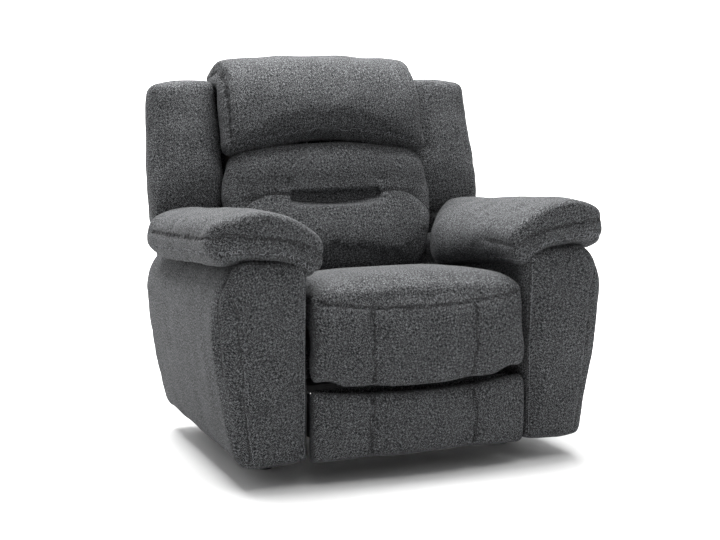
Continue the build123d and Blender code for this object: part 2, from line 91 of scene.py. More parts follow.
def sweep(name, profile, span, radius, crown, place, count=150, step=0.012):
    """Closed body: a profile carried along one axis, with rounded and slightly domed ends.
    place turns (along, p, q) into points of the chair."""
    ring = smooth_closed(profile, count)
    rows = []
    for end, r, c, sign in ((span[0], radius[0], crown[0], 1), (span[1], radius[1], crown[1], -1)):
        small = inset(ring, r)
        mid = small.mean(axis=0)
        half = [(end - sign * c * (1 - k * k), mid + (small - mid) * k) for k in np.linspace(0.04, 1, 14)]
        half += [(end + sign * r * (1 - math.cos(a)), inset(ring, r * (1 - math.sin(a))))
                 for a in np.linspace(0.15, math.pi / 2, 7)]
        rows.append(half)
    a0, a1 = span[0] + radius[0], span[1] - radius[1]
    body = [(a, ring) for a in np.linspace(a0, a1, max(2, int((a1 - a0) / step)))[1:-1]]
    stations = rows[0] + body + rows[1][::-1]
    points = [place(np.full(count, a), r[:, 0], r[:, 1]) for a, r in stations]
    verts = np.concatenate([np.stack(p, axis=1) for p in points])
    faces = []
    for i in range(len(stations) - 1):
        for j in range(count):
            k = (j + 1) % count
            faces.append((i * count + j, i * count + k, (i + 1) * count + k, (i + 1) * count + j))
    faces += [tuple(range(count)), tuple(range((len(stations) - 1) * count, len(stations) * count))[::-1]]
    mesh = bpy.data.meshes.new(name)
    mesh.from_pydata([tuple(v) for v in verts], [], faces)
    obj = bpy.data.objects.new(name, mesh)
    bpy.context.scene.collection.objects.link(obj)
    bm = bmesh.new()
    bm.from_mesh(mesh)
    bmesh.ops.recalc_face_normals(bm, faces=bm.faces)
    bm.to_mesh(mesh)
    bm.free()
    return obj


def bake(obj):
    """Apply every modifier on the object."""
    done = bpy.data.meshes.new_from_object(obj.evaluated_get(bpy.context.evaluated_depsgraph_get()))
    obj.modifiers.clear()
    obj.data = done
    return obj


def remesh(obj, size, smooth=6):
    mod = obj.modifiers.new("even", "REMESH")
    mod.mode, mod.voxel_size = "VOXEL", size
    bake(obj)
    if smooth:
        mod = obj.modifiers.new("relax", "SMOOTH")
        mod.factor, mod.iterations = 0.5, smooth
        bake(obj)
    return obj


def coords(obj):
    co = np.zeros(len(obj.data.vertices) * 3)
    obj.data.vertices.foreach_get("co", co)
    return co.reshape(-1, 3)


def normals(obj):
    co = np.zeros(len(obj.data.vertices) * 3)
    obj.data.vertices.foreach_get("normal", co)
    return co.reshape(-1, 3)


def set_coords(obj, co):
    obj.data.vertices.foreach_set("co", np.ascontiguousarray(co, dtype=np.float32).ravel())
    obj.data.update()


def inflate(obj, pressure=4.0, cap=0.014, frames=20):
    """Swell the sewn shape with air pressure, and stop each point at the cap."""
    before = coords(obj)
    mod = obj.modifiers.new("swell", "CLOTH")
    s = mod.settings
    s.quality, s.mass = 5, 0.35
    s.tension_stiffness = s.compression_stiffness = 18
    s.shear_stiffness, s.bending_stiffness = 8, 0.6
    s.use_pressure, s.uniform_pressure_force = True, pressure
    s.effector_weights.gravity = 0
    mod.collision_settings.use_collision = False
    scene = bpy.context.scene
    for f in range(1, frames + 1):
        scene.frame_set(f)
    eval_obj = obj.evaluated_get(bpy.context.evaluated_depsgraph_get())
    after = np.zeros(len(before) * 3)
    eval_obj.data.vertices.foreach_get("co", after)
    obj.modifiers.clear()
    scene.frame_set(1)
    move = after.reshape(-1, 3) - before
    length = np.linalg.norm(move, axis=1, keepdims=True)
    set_coords(obj, before + move * np.minimum(1, cap / np.maximum(length, 1e-9)))
    return obj


def divide(obj, levels=1):
    mod = obj.modifiers.new("fine", "SUBSURF")
    mod.levels = mod.render_levels = levels
    return bake(obj)


def ripple(obj, amount, size, seed):
    """Slow unevenness of filled fabric."""
    rng = np.random.default_rng(seed)
    co, n = coords(obj), normals(obj)
    h = np.zeros(len(co))
    for _ in range(14):
        d = rng.normal(size=3)
        d /= np.linalg.norm(d)
        h += np.sin(co @ d * 2 * math.pi / (size * rng.uniform(0.6, 1.9)) + rng.uniform(0, 6.28))
    set_coords(obj, co + n * (h * amount / 3.7)[:, None])


def press(obj, axis, low, high, soft=0.004):
    """Flatten the swelling softly where the piece lies against something."""
    co = coords(obj)
    v = co[:, axis]
    v = np.where(v > high - soft, high - soft * np.exp(-np.clip((v - high + soft) / soft, 0, 9)), v)
    v = np.where(v < low + soft, low + soft * np.exp(-np.clip((low + soft - v) / soft, 0, 9)), v)
    co[:, axis] = v
    set_coords(obj, co)


def tree(obj):
    bm = bmesh.new()
    bm.from_mesh(obj.data)
    t = BVHTree.FromBMesh(bm)
    bm.free()
    return t


def on_surface(obj, points, spacing=0.002, bvh=None):
    """A line laid on the surface: evenly spaced points and their normals."""
    bvh = bvh or tree(obj)
    p = np.array(points, float)
    if len(p) > 2:
        dense = []
        for i in range(len(p) - 1):
            a, b, c, d = p[max(i - 1, 0)], p[i], p[i + 1], p[min(i + 2, len(p) - 1)]
            for t in np.linspace(0, 1, 20, endpoint=False):
                dense.append(0.5 * ((2 * b) + (c - a) * t + (2 * a - 5 * b + 4 * c - d) * t * t
                                    + (3 * b - a - 3 * c + d) * t ** 3))
        p = np.array(dense + [p[-1]])
    length = np.linalg.norm(np.diff(p, axis=0), axis=1).sum()
    p = resample(p, max(8, int(length / spacing)))
    hits = [bvh.find_nearest(Vector(q)) for q in p]
    q = np.array([h[0] for h in hits])
    n = np.array([h[1] for h in hits])
    return q, n


def nearest_line(co, line):
    """Distance to the line, and the place along it, for every point."""
    best = np.full(len(co), 9.0)
    where = np.zeros(len(co), int)
    lo, hi = line.min(0) - 0.08, line.max(0) + 0.08
    near = np.where(np.all((co > lo) & (co < hi), axis=1))[0]
    for chunk in np.array_split(near, max(1, len(near) // 4000)):
        if len(chunk):
            d = np.linalg.norm(co[chunk, None, :] - line[None], axis=2)
            best[chunk], where[chunk] = d.min(1), d.argmin(1)
    return best, where


def sew(obj, lines, deep=0.0028, narrow=0.0045, pull=0.004, wide=0.024, pucker=0.0, pitch=0.014, seed=1,
        fade=0):
    """Pull the fabric in along each seam line, with optional small gathers beside it."""
    rng = np.random.default_rng(seed)
    bvh = tree(obj)
    co, n = coords(obj), normals(obj)
    move = np.zeros(len(co))
    for points in lines:
        line, _ = on_surface(obj, points, bvh=bvh)
        d, w = nearest_line(co, line)
        s = w * 0.002
        ends = np.ones(len(co))
        if fade:
            total = len(line) * 0.002
            ends = np.clip(np.minimum(s, total - s) / fade, 0.05, 1)
        side = np.abs(d)
        move -= ends * (deep * np.exp(-(side / narrow) ** 2) + pull * np.exp(-(side / wide) ** 2))
        if pucker:
            phase = np.cumsum(rng.normal(0, 0.10, len(line)))
            fine = np.sin(2 * math.pi * s / pitch + phase[w])
            coarse = 0.6 * np.sin(2 * math.pi * s / (pitch * 2.3) + phase[w])
            beside = np.exp(-side / 0.013) * (1 - np.exp(-(side / 0.004) ** 2))
            move += ends * pucker * (fine + coarse) * beside
    set_coords(obj, co + n * move[:, None])


def dent(obj, centre, size, depth, power=2.0):
    """Press a soft hollow into the surface."""
    co, n = coords(obj), normals(obj)
    q = np.sum(np.abs((co - np.array(centre)) / np.array(size)) ** power, axis=1)
    set_coords(obj, co - n * (depth * np.exp(-q))[:, None])


def tube(line, radius, sides=6):
    """Fine cord along a line."""
    p = np.array(line)
    tangent = np.gradient(p, axis=0)
    tangent /= np.linalg.norm(tangent, axis=1, keepdims=True) + 1e-12
    ref = np.array([0.3, 0.2, 0.93])
    u = np.cross(tangent, ref)
    u /= np.linalg.norm(u, axis=1, keepdims=True) + 1e-12
    v = np.cross(tangent, u)
    ang = np.linspace(0, 2 * math.pi, sides, endpoint=False)
    around = np.cos(ang)[None, :, None] * u[:, None] + np.sin(ang)[None, :, None] * v[:, None]
    rings = p[:, None] + radius * around
    n = len(p)
    faces = []
    for i in range(n - 1):
        for j in range(sides):
            k = (j + 1) % sides
            faces.append((i * sides + j, i * sides + k, (i + 1) * sides + k, (i + 1) * sides + j))
    faces += [tuple(range(sides))[::-1], tuple(range((n - 1) * sides, n * sides))]
    return rings.reshape(-1, 3), faces


def thread(name, obj, lines, radius=0.0013, sink=-0.0001, dash=0.0, gap=0.0):
    """Sewing thread laid on the fabric: one line, or single stitches when dash is given."""
    verts, faces = [], []
    bvh = tree(obj)
    for points in lines:
        q, n = on_surface(obj, points, bvh=bvh)
        q = q - n * sink
        if dash:
            per, on = max(2, int((dash + gap) / 0.002)), max(2, int(dash / 0.002) + 1)
            pieces = [q[i:i + on] for i in range(0, len(q) - on, per)]
        else:
            pieces = [q[::2]]
        for piece in pieces:
            if len(piece) < 2:
                continue
            v, f = tube(piece, radius)
            base = sum(len(x) for x in verts)
            faces += [tuple(base + i for i in g) for g in f]
            verts.append(v)
    mesh = bpy.data.meshes.new(name)
    mesh.from_pydata([tuple(v) for v in np.concatenate(verts)], [], faces)
    piece = bpy.data.objects.new(name, mesh)
    bpy.context.scene.collection.objects.link(piece)
    for poly in mesh.polygons:
        poly.use_smooth = True
    return piece


def mirrored(obj, name):
    mesh = obj.data.copy()
    mesh.name = name
    twin = bpy.data.objects.new(name, mesh)
    bpy.context.scene.collection.objects.link(twin)
    co = coords(twin)
    co[:, 0] *= -1
    set_coords(twin, co)
    mesh.flip_normals()
    return twin


def flip(lines):
    return [[(-p[0], p[1], p[2]) for p in line] for line in lines]


def dress(obj, material, body, replaced=()):
    """Give a piece its material, the body it rides on, and the plain solids that it stands for."""
    obj.data.materials.clear()
    obj.data.materials.append(material)
    for poly in obj.data.polygons:
        poly.use_smooth = True
    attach(obj, body)
    if replaced:
        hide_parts(*replaced)
    return obj


def back_xyz(x, s, d):
    """Point on the leaning back: across, up the lean, towards the front."""
    y = HINGE[1] + s * math.sin(LEAN) - d * math.cos(LEAN)
    z = HINGE[2] + s * math.cos(LEAN) + d * math.sin(LEAN)
    return x, y, z


def curve(xs, ys):
    """Function that runs through the given values in straight steps."""
    return lambda v: np.interp(v, xs, ys)


def fall(y):
    """Drop of the arm top and pad towards the rear."""
    return (y - ARM_NOSE) * ARM_SLOPE


def sloped(lines):
    """Seam lines lowered with the falling arm top."""
    return [[(x, y, z - fall(y)) for x, y, z in line] for line in lines]


def bump01(v, lo, hi):
    """Smooth rise from 0 at lo to 1 at hi."""
    t = np.clip((v - lo) / (hi - lo), 0, 1)
    return t * t * (3 - 2 * t)


# ---------------------------------------------------------------- materials
def nodes_of(name):
    m = bpy.data.materials.new(name)
    m.use_nodes = True
    return m, m.node_tree.nodes, m.node_tree.links, m.node_tree.nodes["Principled BSDF"]


def math_node(nodes, links, op, a, b=None):
    n = nodes.new("ShaderNodeMath")
    n.operation = op
    for i, v in enumerate((a, b)):
        if v is None:
            continue
        if isinstance(v, (int, float)):
            n.inputs[i].default_value = v
        else:
            links.new(v, n.inputs[i])
    return n.outputs[0]


def ramp(nodes, links, value, stops):
    n = nodes.new("ShaderNodeValToRGB")
    while len(n.color_ramp.elements) < len(stops):
        n.color_ramp.elements.new(0.5)
    for e, (pos, col) in zip(n.color_ramp.elements, stops):
        e.position, e.color = pos, (*col, 1)
    links.new(value, n.inputs[0])
    return n.outputs[0]


def noise_node(nodes, links, vector, scale, detail=2.0, rough=0.5, distort=0.0):
    n = nodes.new("ShaderNodeTexNoise")
    n.inputs["Scale"].default_value = scale
    n.inputs["Detail"].default_value = detail
    n.inputs["Roughness"].default_value = rough
    n.inputs["Distortion"].default_value = distort
    links.new(vector, n.inputs["Vector"])
    return n.outputs["Fac"]


def stretched(nodes, links, vector, scale):
    n = nodes.new("ShaderNodeMapping")
    n.inputs["Scale"].default_value = scale
    links.new(vector, n.inputs["Vector"])
    return n.outputs["Vector"]


def chenille(name, dark, mid, light):
    """Chenille tweed: short slanting tufts that change direction in narrow bands, with loose flecks.
    The pattern is laid on each face along the two axes it shows most of."""
    m, nodes, links, bsdf = nodes_of(name)

    def op(kind, a, b=None):
        return math_node(nodes, links, kind, a, b)

    tex = nodes.new("ShaderNodeTexCoord")
    pos, nor = nodes.new("ShaderNodeSeparateXYZ"), nodes.new("ShaderNodeSeparateXYZ")
    links.new(tex.outputs["Object"], pos.inputs[0])
    links.new(tex.outputs["Normal"], nor.inputs[0])
    nx, ny, nz = (op("ABSOLUTE", nor.outputs[k]) for k in range(3))
    flat = op("GREATER_THAN", nz, op("MAXIMUM", nx, ny))
    sideways = op("MULTIPLY", op("GREATER_THAN", nx, ny), op("SUBTRACT", 1.0, flat))
    x, y, z = pos.outputs
    u = op("ADD", x, op("MULTIPLY", op("SUBTRACT", y, x), sideways))
    v = op("ADD", z, op("MULTIPLY", op("SUBTRACT", y, z), flat))
    wobble = noise_node(nodes, links, tex.outputs["Object"], 45, 2.0)
    band = op("PINGPONG", op("ADD", u, op("MULTIPLY", wobble, 0.012)), 0.018)
    turn = op("SUBTRACT", op("MULTIPLY", op("GREATER_THAN", band, 0.009), 2.0), 1.0)
    along = op("MULTIPLY", op("ADD", u, op("MULTIPLY", turn, v)), 108.0)
    across = op("MULTIPLY", op("SUBTRACT", v, op("MULTIPLY", turn, u)), 480.0)
    join = nodes.new("ShaderNodeCombineXYZ")
    links.new(along, join.inputs[0])
    links.new(across, join.inputs[1])
    links.new(turn, join.inputs[2])
    tuft = noise_node(nodes, links, join.outputs[0], 1.0, 0.8, 0.5)
    fleck = noise_node(nodes, links, tex.outputs["Object"], 470, 2.0, 0.65)
    patch = noise_node(nodes, links, tex.outputs["Object"], 16, 3.0, 0.55)
    weave = op("ADD", op("MULTIPLY", tuft, 0.66), op("MULTIPLY", fleck, 0.34))
    shade = op("ADD", weave, op("MULTIPLY", op("SUBTRACT", patch, 0.5), 0.05))
    colour = ramp(nodes, links, shade, [(0.38, dark), (0.49, mid), (0.63, light)])
    links.new(colour, bsdf.inputs["Base Color"])
    rough = nodes.new("ShaderNodeMapRange")
    links.new(weave, rough.inputs["Value"])
    rough.inputs["To Min"].default_value, rough.inputs["To Max"].default_value = 0.98, 0.78
    links.new(rough.outputs[0], bsdf.inputs["Roughness"])
    bsdf.inputs["Specular IOR Level"].default_value = 0.2
    bsdf.inputs["Sheen Weight"].default_value = 0.02
    bsdf.inputs["Sheen Roughness"].default_value = 0.5
    bsdf.inputs["Sheen Tint"].default_value = (0.88, 0.90, 0.95, 1)
    bump = nodes.new("ShaderNodeBump")
    bump.inputs["Strength"].default_value = 0.7
    bump.inputs["Distance"].default_value = 0.0016
    links.new(weave, bump.inputs["Height"])
    links.new(bump.outputs[0], bsdf.inputs["Normal"])
    return m


def plain(name, base, rough, metallic=0.0, scale=220, vary=0.25, bump_by=0.0003):
    """Painted steel, zinc, plastic, thread: colour and roughness that vary, with a fine surface."""
    m, nodes, links, bsdf = nodes_of(name)
    pos = nodes.new("ShaderNodeTexCoord").outputs["Object"]
    fine = noise_node(nodes, links, pos, scale, 3.0, 0.6)
    slow = noise_node(nodes, links, pos, scale / 14, 3.0, 0.55)
    both = math_node(nodes, links, "ADD", math_node(nodes, links, "MULTIPLY", fine, 0.5),
                     math_node(nodes, links, "MULTIPLY", slow, 0.5))
    lo = tuple(c * (1 - vary) for c in base)
    hi = tuple(min(1, c * (1 + vary)) for c in base)
    links.new(ramp(nodes, links, both, [(0.35, lo), (0.65, hi)]), bsdf.inputs["Base Color"])
    rr = nodes.new("ShaderNodeMapRange")
    links.new(both, rr.inputs["Value"])
    rr.inputs["To Min"].default_value = max(0.05, rough - 0.12)
    rr.inputs["To Max"].default_value = min(1, rough + 0.12)
    links.new(rr.outputs[0], bsdf.inputs["Roughness"])
    bsdf.inputs["Metallic"].default_value = metallic
    bump = nodes.new("ShaderNodeBump")
    bump.inputs["Strength"].default_value = 0.4
    bump.inputs["Distance"].default_value = bump_by
    links.new(fine, bump.inputs["Height"])
    links.new(bump.outputs[0], bsdf.inputs["Normal"])
    return m


def plywood(name):
    """Plywood with long grain, coloured dark as painted shade, so that where the frame shows in the gaps between
    the soft pieces it looks shaded.
    """
    m, nodes, links, bsdf = nodes_of(name)
    pos = nodes.new("ShaderNodeTexCoord").outputs["Object"]
    grain = noise_node(nodes, links, stretched(nodes, links, pos, (60, 5, 60)), 1.0, 6.0, 0.6, 0.6)
    slow = noise_node(nodes, links, pos, 7, 2.0, 0.5)
    both = math_node(nodes, links, "ADD", math_node(nodes, links, "MULTIPLY", grain, 0.7),
                     math_node(nodes, links, "MULTIPLY", slow, 0.3))
    # The dark browns of this ramp are painted shade for the frame seen in the gaps; the grain pattern is the
    # wood's own.
    links.new(ramp(nodes, links, both, [(0.3, (0.022, 0.016, 0.012)), (0.5, (0.040, 0.030, 0.022)),
                                       (0.72, (0.064, 0.049, 0.037))]),
              bsdf.inputs["Base Color"])
    bsdf.inputs["Roughness"].default_value = 0.72
    bump = nodes.new("ShaderNodeBump")
    bump.inputs["Strength"].default_value = 0.35
    bump.inputs["Distance"].default_value = 0.0006
    links.new(grain, bump.inputs["Height"])
    links.new(bump.outputs[0], bsdf.inputs["Normal"])
    return m


FABRIC = chenille("charcoal_chenille", dark=(0.0025, 0.0026, 0.0028), mid=(0.0185, 0.0190, 0.0200),
                  light=(0.146, 0.150, 0.156))
SEAM = plain("seam_thread_dark", (0.012, 0.012, 0.013), 0.9, scale=900, bump_by=0.0002)
STITCH = plain("top_stitch_thread", (0.17, 0.175, 0.185), 0.8, scale=900, bump_by=0.0002)
FINISH = {
    "frame_wood": plywood("frame_plywood"),
    "black_steel": plain("satin_black_steel", (0.022, 0.022, 0.023), 0.42, metallic=0.35, scale=260),
    "spring_steel": plain("zinc_steel", (0.50, 0.50, 0.52), 0.36, metallic=1.0, scale=400),
    "black_plastic": plain("matte_black_plastic", (0.020, 0.020, 0.021), 0.58, scale=600),
    "button_plastic": plain("grey_plastic", (0.10, 0.10, 0.105), 0.45, scale=700),
    "panel_fabric": FABRIC,
    "upholstery": FABRIC,
}
for sub in frame["record"]["subparts"]:
    node = frame["nodes"][sub["node"]]
    node.data.materials.clear()
    node.data.materials.append(FINISH[sub["material_slot"]])


# ---------------------------------------------------------------- arms
def build_arm():
    outside = [(0.446, 0.060), (0.458, 0.100), (0.472, 0.160), (0.485, 0.220), (0.496, 0.290),
               (0.502, 0.360), (0.503, 0.420), (0.498, 0.465), (0.486, 0.505), (0.466, 0.534),
               (0.446, 0.547)]
    profile = ([(0.284, 0.058), (0.36, 0.055), (0.425, 0.055)] + outside
               + [(0.42, 0.549), (0.38, 0.549), (0.33, 0.549), (0.301, 0.5455), (0.2850, 0.529)]
               + [(0.2835, z) for z in (0.48, 0.40, 0.30, 0.20, 0.12)] + [(0.2840, 0.080)])

    def place(y, x, z):
        front = np.exp(-((y + 0.44) / 0.10) ** 2)
        turn = 1 - np.clip((y + 0.444) / 0.022, 0, 1)
        x = x - 0.021 * (1 - np.sqrt(1 - np.clip(turn, 0, 0.999) ** 2)) * np.clip((0.34 - x) / 0.04, 0, 1)
        return x, y - 0.007 * front * bump01(z, 0.06, 0.5), z - fall(y) * bump01(z, 0.38, 0.54)

    obj = sweep("arm_cover_soft_left", profile, (-0.444, 0.260), (0.022, 0.008), (0.007, 0.002), place)
    remesh(obj, 0.0075, 4)
    inflate(obj, 2.5, 0.006, 14)
    press(obj, 0, 0.2835, 0.9)
    divide(obj)
    ripple(obj, 0.0011, 0.13, 3)
    outer_edge = [(0.462, -0.40, 0.535), (0.470, -0.425, 0.495), (0.457, -0.44, 0.428),
                  (0.450, -0.44, 0.339), (0.444, -0.44, 0.249), (0.440, -0.44, 0.18), (0.431, -0.44, 0.075)]
    inner_edge = [(0.310, -0.44, 0.552), (0.298, -0.44, 0.515), (0.293, -0.44, 0.42), (0.291, -0.44, 0.30),
                  (0.291, -0.44, 0.075)]
    seams = [outer_edge, inner_edge]
    gusset = [[(0.455, -0.42, 0.542), (0.476, -0.425, 0.518), (0.488, -0.424, 0.485),
               (0.492, -0.422, 0.43), (0.491, -0.421, 0.36), (0.487, -0.420, 0.28)]]
    rail = [[(0.50, -0.30, 0.385), (0.50, -0.1, 0.387), (0.50, 0.1, 0.388), (0.50, 0.235, 0.388)]]
    sew(obj, seams, deep=0.0026, narrow=0.004, pull=0.003, wide=0.022, pucker=0.0007, seed=5)
    sew(obj, gusset, deep=0.0022, narrow=0.004, pull=0.0015, wide=0.016, fade=0.03)
    sew(obj, rail, deep=0.0012, narrow=0.0035, pull=0.0008, wide=0.012, fade=0.05)
    return obj, seams, gusset


def recess_panel(obj):
    """Sink the side of the cover around the control panel, and leave a pocket behind its bezel."""
    proud, reach, pocket, pocket_edge = 0.0035, 0.040, 0.032, 0.004
    low, high = (np.array(v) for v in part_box("control_bezel"))
    co = coords(obj)
    out = np.abs(co[:, 1:] - (low + high)[1:] / 2) - (high - low)[1:] / 2
    beside = np.linalg.norm(np.maximum(out, 0), axis=1)
    within = np.clip(-out.max(axis=1) / pocket_edge, 0, 1)
    limit = high[0] - proud + 0.030 * (beside / reach) ** 2 - pocket * within
    outer = co[:, 0] > 0.42
    co[outer, 0] = np.minimum(co[:, 0], limit)[outer]
    set_coords(obj, co)


def build_pad():
    profile = [(0.526, 0.566), (0.525, 0.600), (0.508, 0.632), (0.468, 0.653), (0.415, 0.663),
               (0.365, 0.658), (0.320, 0.642), (0.282, 0.617), (0.252, 0.583), (0.241, 0.548),
               (0.247, 0.518), (0.267, 0.500), (0.287, 0.502), (0.312, 0.520), (0.350, 0.544),
               (0.395, 0.551), (0.445, 0.551), (0.470, 0.547), (0.494, 0.543), (0.514, 0.551)]

    def place(y, x, z):
        rear = np.clip(y / 0.20, 0, 1)
        inner = np.clip((0.36 - x) / 0.11, 0, 1)
        x = x + inner * 0.085 * rear ** 1.4
        nose = np.exp(-((y + 0.46) / 0.06) ** 2)
        drape = np.clip((0.31 - x) / 0.05, 0, 1) * bump01(-z, -0.57, -0.51)
        drape = drape * np.clip((y + 0.36) / 0.36, 0, 1)
        rear_drop = 0.008 * bump01(y, -0.30, 0.10)
        z = z - (0.006 + 0.004 * nose) * bump01(z, 0.58, 0.66) - fall(y) - rear_drop - 0.026 * drape
        y = y + 0.010 * np.clip((0.33 - x) / 0.09, 0, 1) * nose
        y = y + 0.050 * np.clip((x - 0.435) / 0.09, 0, 1) ** 2.2 * np.exp(-((y + 0.46) / 0.10) ** 2)
        return x, y, z

    obj = sweep("arm_pad_soft_left", profile, (-0.464, 0.188), (0.026, 0.032), (0.006, 0.004), place)
    remesh(obj, 0.0070, 4)
    inflate(obj, 4.0, 0.009, 18)
    divide(obj)
    ripple(obj, 0.0012, 0.10, 11)
    upper = sloped([[(0.248, -0.30, 0.562), (0.252, -0.40, 0.556), (0.262, -0.445, 0.556),
                     (0.287, -0.462, 0.574), (0.349, -0.466, 0.594), (0.444, -0.466, 0.606),
                     (0.492, -0.448, 0.609), (0.521, -0.40, 0.606), (0.527, -0.25, 0.602),
                     (0.527, 0.0, 0.601), (0.522, 0.14, 0.600)]])
    lower = sloped([[(0.250, -0.30, 0.516), (0.262, -0.40, 0.516), (0.272, -0.445, 0.518),
                     (0.300, -0.462, 0.527), (0.350, -0.466, 0.552), (0.444, -0.466, 0.562),
                     (0.492, -0.448, 0.564), (0.520, -0.40, 0.563), (0.524, -0.25, 0.558),
                     (0.524, 0.0, 0.555), (0.518, 0.14, 0.554)]])
    sew(obj, upper, deep=0.0024, narrow=0.004, pull=0.0035, wide=0.018, pucker=0.0006, seed=8)
    sew(obj, lower, deep=0.0022, narrow=0.004, pull=0.0030, wide=0.014, pucker=0.0006, seed=9)
    return obj, upper, lower


arm, arm_seams, arm_gusset = build_arm()
pad, pad_upper, pad_lower = build_pad()
arm_twin, pad_twin = mirrored(arm, "arm_cover_soft_right"), mirrored(pad, "arm_pad_soft_right")
recess_panel(arm)
for side, a, p in (("left", arm, pad), ("right", arm_twin, pad_twin)):
    turn = (lambda lines: lines) if side == "left" else flip
    dress(a, FABRIC, "base", [f"arm_cover_{side}"])
    dress(p, FABRIC, "base", [f"arm_pad_{side}"])
    dress(thread(f"arm_seam_{side}", a, turn(arm_seams + arm_gusset)), SEAM, "base")
    offset = [[(x + shift, y, z) for x, y, z in line] for line, shift in zip(arm_seams, (-0.0085, 0.0075))]
    dress(thread(f"arm_stitch_{side}", a, turn(offset), 0.00055, -0.0001, DASH, GAP), STITCH, "base")
    dress(thread(f"pad_seam_{side}", p, turn(pad_upper)), SEAM, "base")
    dress(thread(f"pad_stitch_{side}", p, turn(pad_lower), 0.00075, -0.0002, DASH, GAP), STITCH, "base")


# ---------------------------------------------------------------- seat and footrest
def bow(x, y, front, depth):
    """Fronts bow forward in the middle."""
    return y - depth * (1 - np.clip(x / 0.272, -1, 1) ** 2) * bump01(-y, -front - 0.055, -front)


def build_seat():
    profile = [(-0.438, 0.238), (-0.452, 0.262), (-0.457, 0.300), (-0.458, 0.355), (-0.455, 0.405),
               (-0.449, 0.437), (-0.446, 0.462), (-0.431, 0.482), (-0.395, 0.494), (-0.335, 0.498),
               (-0.260, 0.492), (-0.180, 0.480), (-0.100, 0.461), (-0.030, 0.438), (0.030, 0.416),
               (0.080, 0.400), (0.128, 0.393), (0.147, 0.388), (0.140, 0.3835), (0.060, 0.3825),
               (-0.080, 0.3830), (-0.240, 0.3835), (-0.370, 0.3845), (-0.402, 0.378), (-0.4145, 0.355),
               (-0.4150, 0.300), (-0.4150, 0.256), (-0.422, 0.238)]

    def place(x, y, z):
        yy = bow(x, y, -0.43, 0.020)
        edge = np.clip(np.abs(x) / 0.268, 0, 1)
        zz = z - (0.006 + 0.026 * edge ** 2.4) * bump01(z, 0.43, 0.50) * bump01(-y, -0.06, 0.20)
        over_links = 0.012 * bump01(np.abs(x), 0.200, 0.242)
        zz = zz + (over_links - 0.013 * (1 - edge ** 2)) * bump01(-z, -0.33, -0.245)
        return x, yy, zz

    obj = sweep("seat_soft", profile, (-0.2815, 0.2815), (0.013, 0.013), (0.002, 0.002), place, count=230)
    remesh(obj, 0.0070, 4)
    inflate(obj, 4.0, 0.008, 18)
    press(obj, 0, -0.281, 0.281)
    divide(obj)
    ripple(obj, 0.0012, 0.15, 21)
    xs = np.linspace(-0.268, 0.268, 9)
    top = [[(x, -0.46 - 0.018 * (1 - (x / 0.27) ** 2), 0.425 + 0.028 * (x / 0.27) ** 2) for x in xs]]
    down = [[(x, -0.48, 0.432), (x * 1.03, -0.485, 0.36), (x * 0.97, -0.475, 0.235)] for x in (-0.134, 0.134)]
    sew(obj, top, deep=0.0034, narrow=0.004, pull=0.0045, wide=0.022, pucker=0.0004, seed=4)
    sew(obj, down, deep=0.0034, narrow=0.004, pull=0.0050, wide=0.026, pucker=0.0005, seed=6)
    return obj, top, down


def build_footrest():
    profile = [(-0.444, 0.064), (-0.453, 0.100), (-0.456, 0.150), (-0.453, 0.200), (-0.444, 0.226),
               (-0.424, 0.231), (-0.409, 0.225), (-0.4065, 0.195), (-0.4065, 0.150), (-0.4065, 0.090),
               (-0.410, 0.062), (-0.423, 0.057)]
    obj = sweep("footrest_soft", profile, (-0.2805, 0.2805), (0.010, 0.010), (0.002, 0.002),
                lambda x, y, z: (x, bow(x, y, -0.43, 0.020),
                                 z - 0.011 * (1 - (x / 0.28) ** 2) * bump01(z, 0.16, 0.22)))
    remesh(obj, 0.0065, 3)
    inflate(obj, 3.0, 0.004, 14)
    press(obj, 0, -0.281, 0.281)
    divide(obj)
    ripple(obj, 0.0010, 0.13, 31)
    down = [[(x * 0.98, -0.47, 0.220), (x * 1.03, -0.485, 0.15), (x, -0.47, 0.066)] for x in (-0.134, 0.134)]
    sew(obj, down, deep=0.0032, narrow=0.004, pull=0.0042, wide=0.026, pucker=0.0005, seed=7)
    return obj, down


seat, seat_top, seat_down = build_seat()
dress(seat, FABRIC, "seat", ["seat_cushion", "seat_front_panel"])
dress(thread("seat_seam", seat, seat_top + seat_down), SEAM, "seat")
foot, foot_down = build_footrest()
dress(foot, FABRIC, "footrest", ["footrest_pad"])
dress(thread("footrest_seam", foot, foot_down), SEAM, "footrest")


# ---------------------------------------------------------------- back
def build_wing():
    profile = [(0.292, -0.098), (0.39, -0.1005), (0.467, -0.099), (0.482, -0.084), (0.485, -0.045),
               (0.482, -0.010), (0.456, 0.004), (0.41, 0.009), (0.36, 0.008), (0.312, 0.002),
               (0.290, -0.014), (0.287, -0.05)]

    def place(s, x, d):
        x = x - 0.014 * bump01(s, 0.30, 0.62) * np.clip((x - 0.36) / 0.11, 0, 1)
        ahead = curve([0.24, 0.30, 0.36, 0.50, 0.63], [-0.004, 0.010, 0.015, 0.004, -0.012])(s)
        d = d + ahead * bump01(d, -0.09, 0.0)
        s = s + 0.006 * bump01(s, 0.50, 0.62) * np.clip((0.40 - x) / 0.10, 0, 1)
        return back_xyz(x, s, d)

    obj = sweep("wing_soft_left", profile, (0.240, 0.632), (0.020, 0.024), (0.002, 0.004), place, count=120)
    remesh(obj, 0.0070, 4)
    inflate(obj, 3.0, 0.006, 14)
    divide(obj)
    ripple(obj, 0.0012, 0.12, 41)
    edge = ((0.452, 0.252), (0.450, 0.40), (0.443, 0.52), (0.436, 0.585))
    seams = [[back_xyz(x, s, 0.01) for x, s in edge]]
    sew(obj, seams, deep=0.0014, narrow=0.0035, pull=0.0012, wide=0.016, fade=0.02)
    return obj, seams


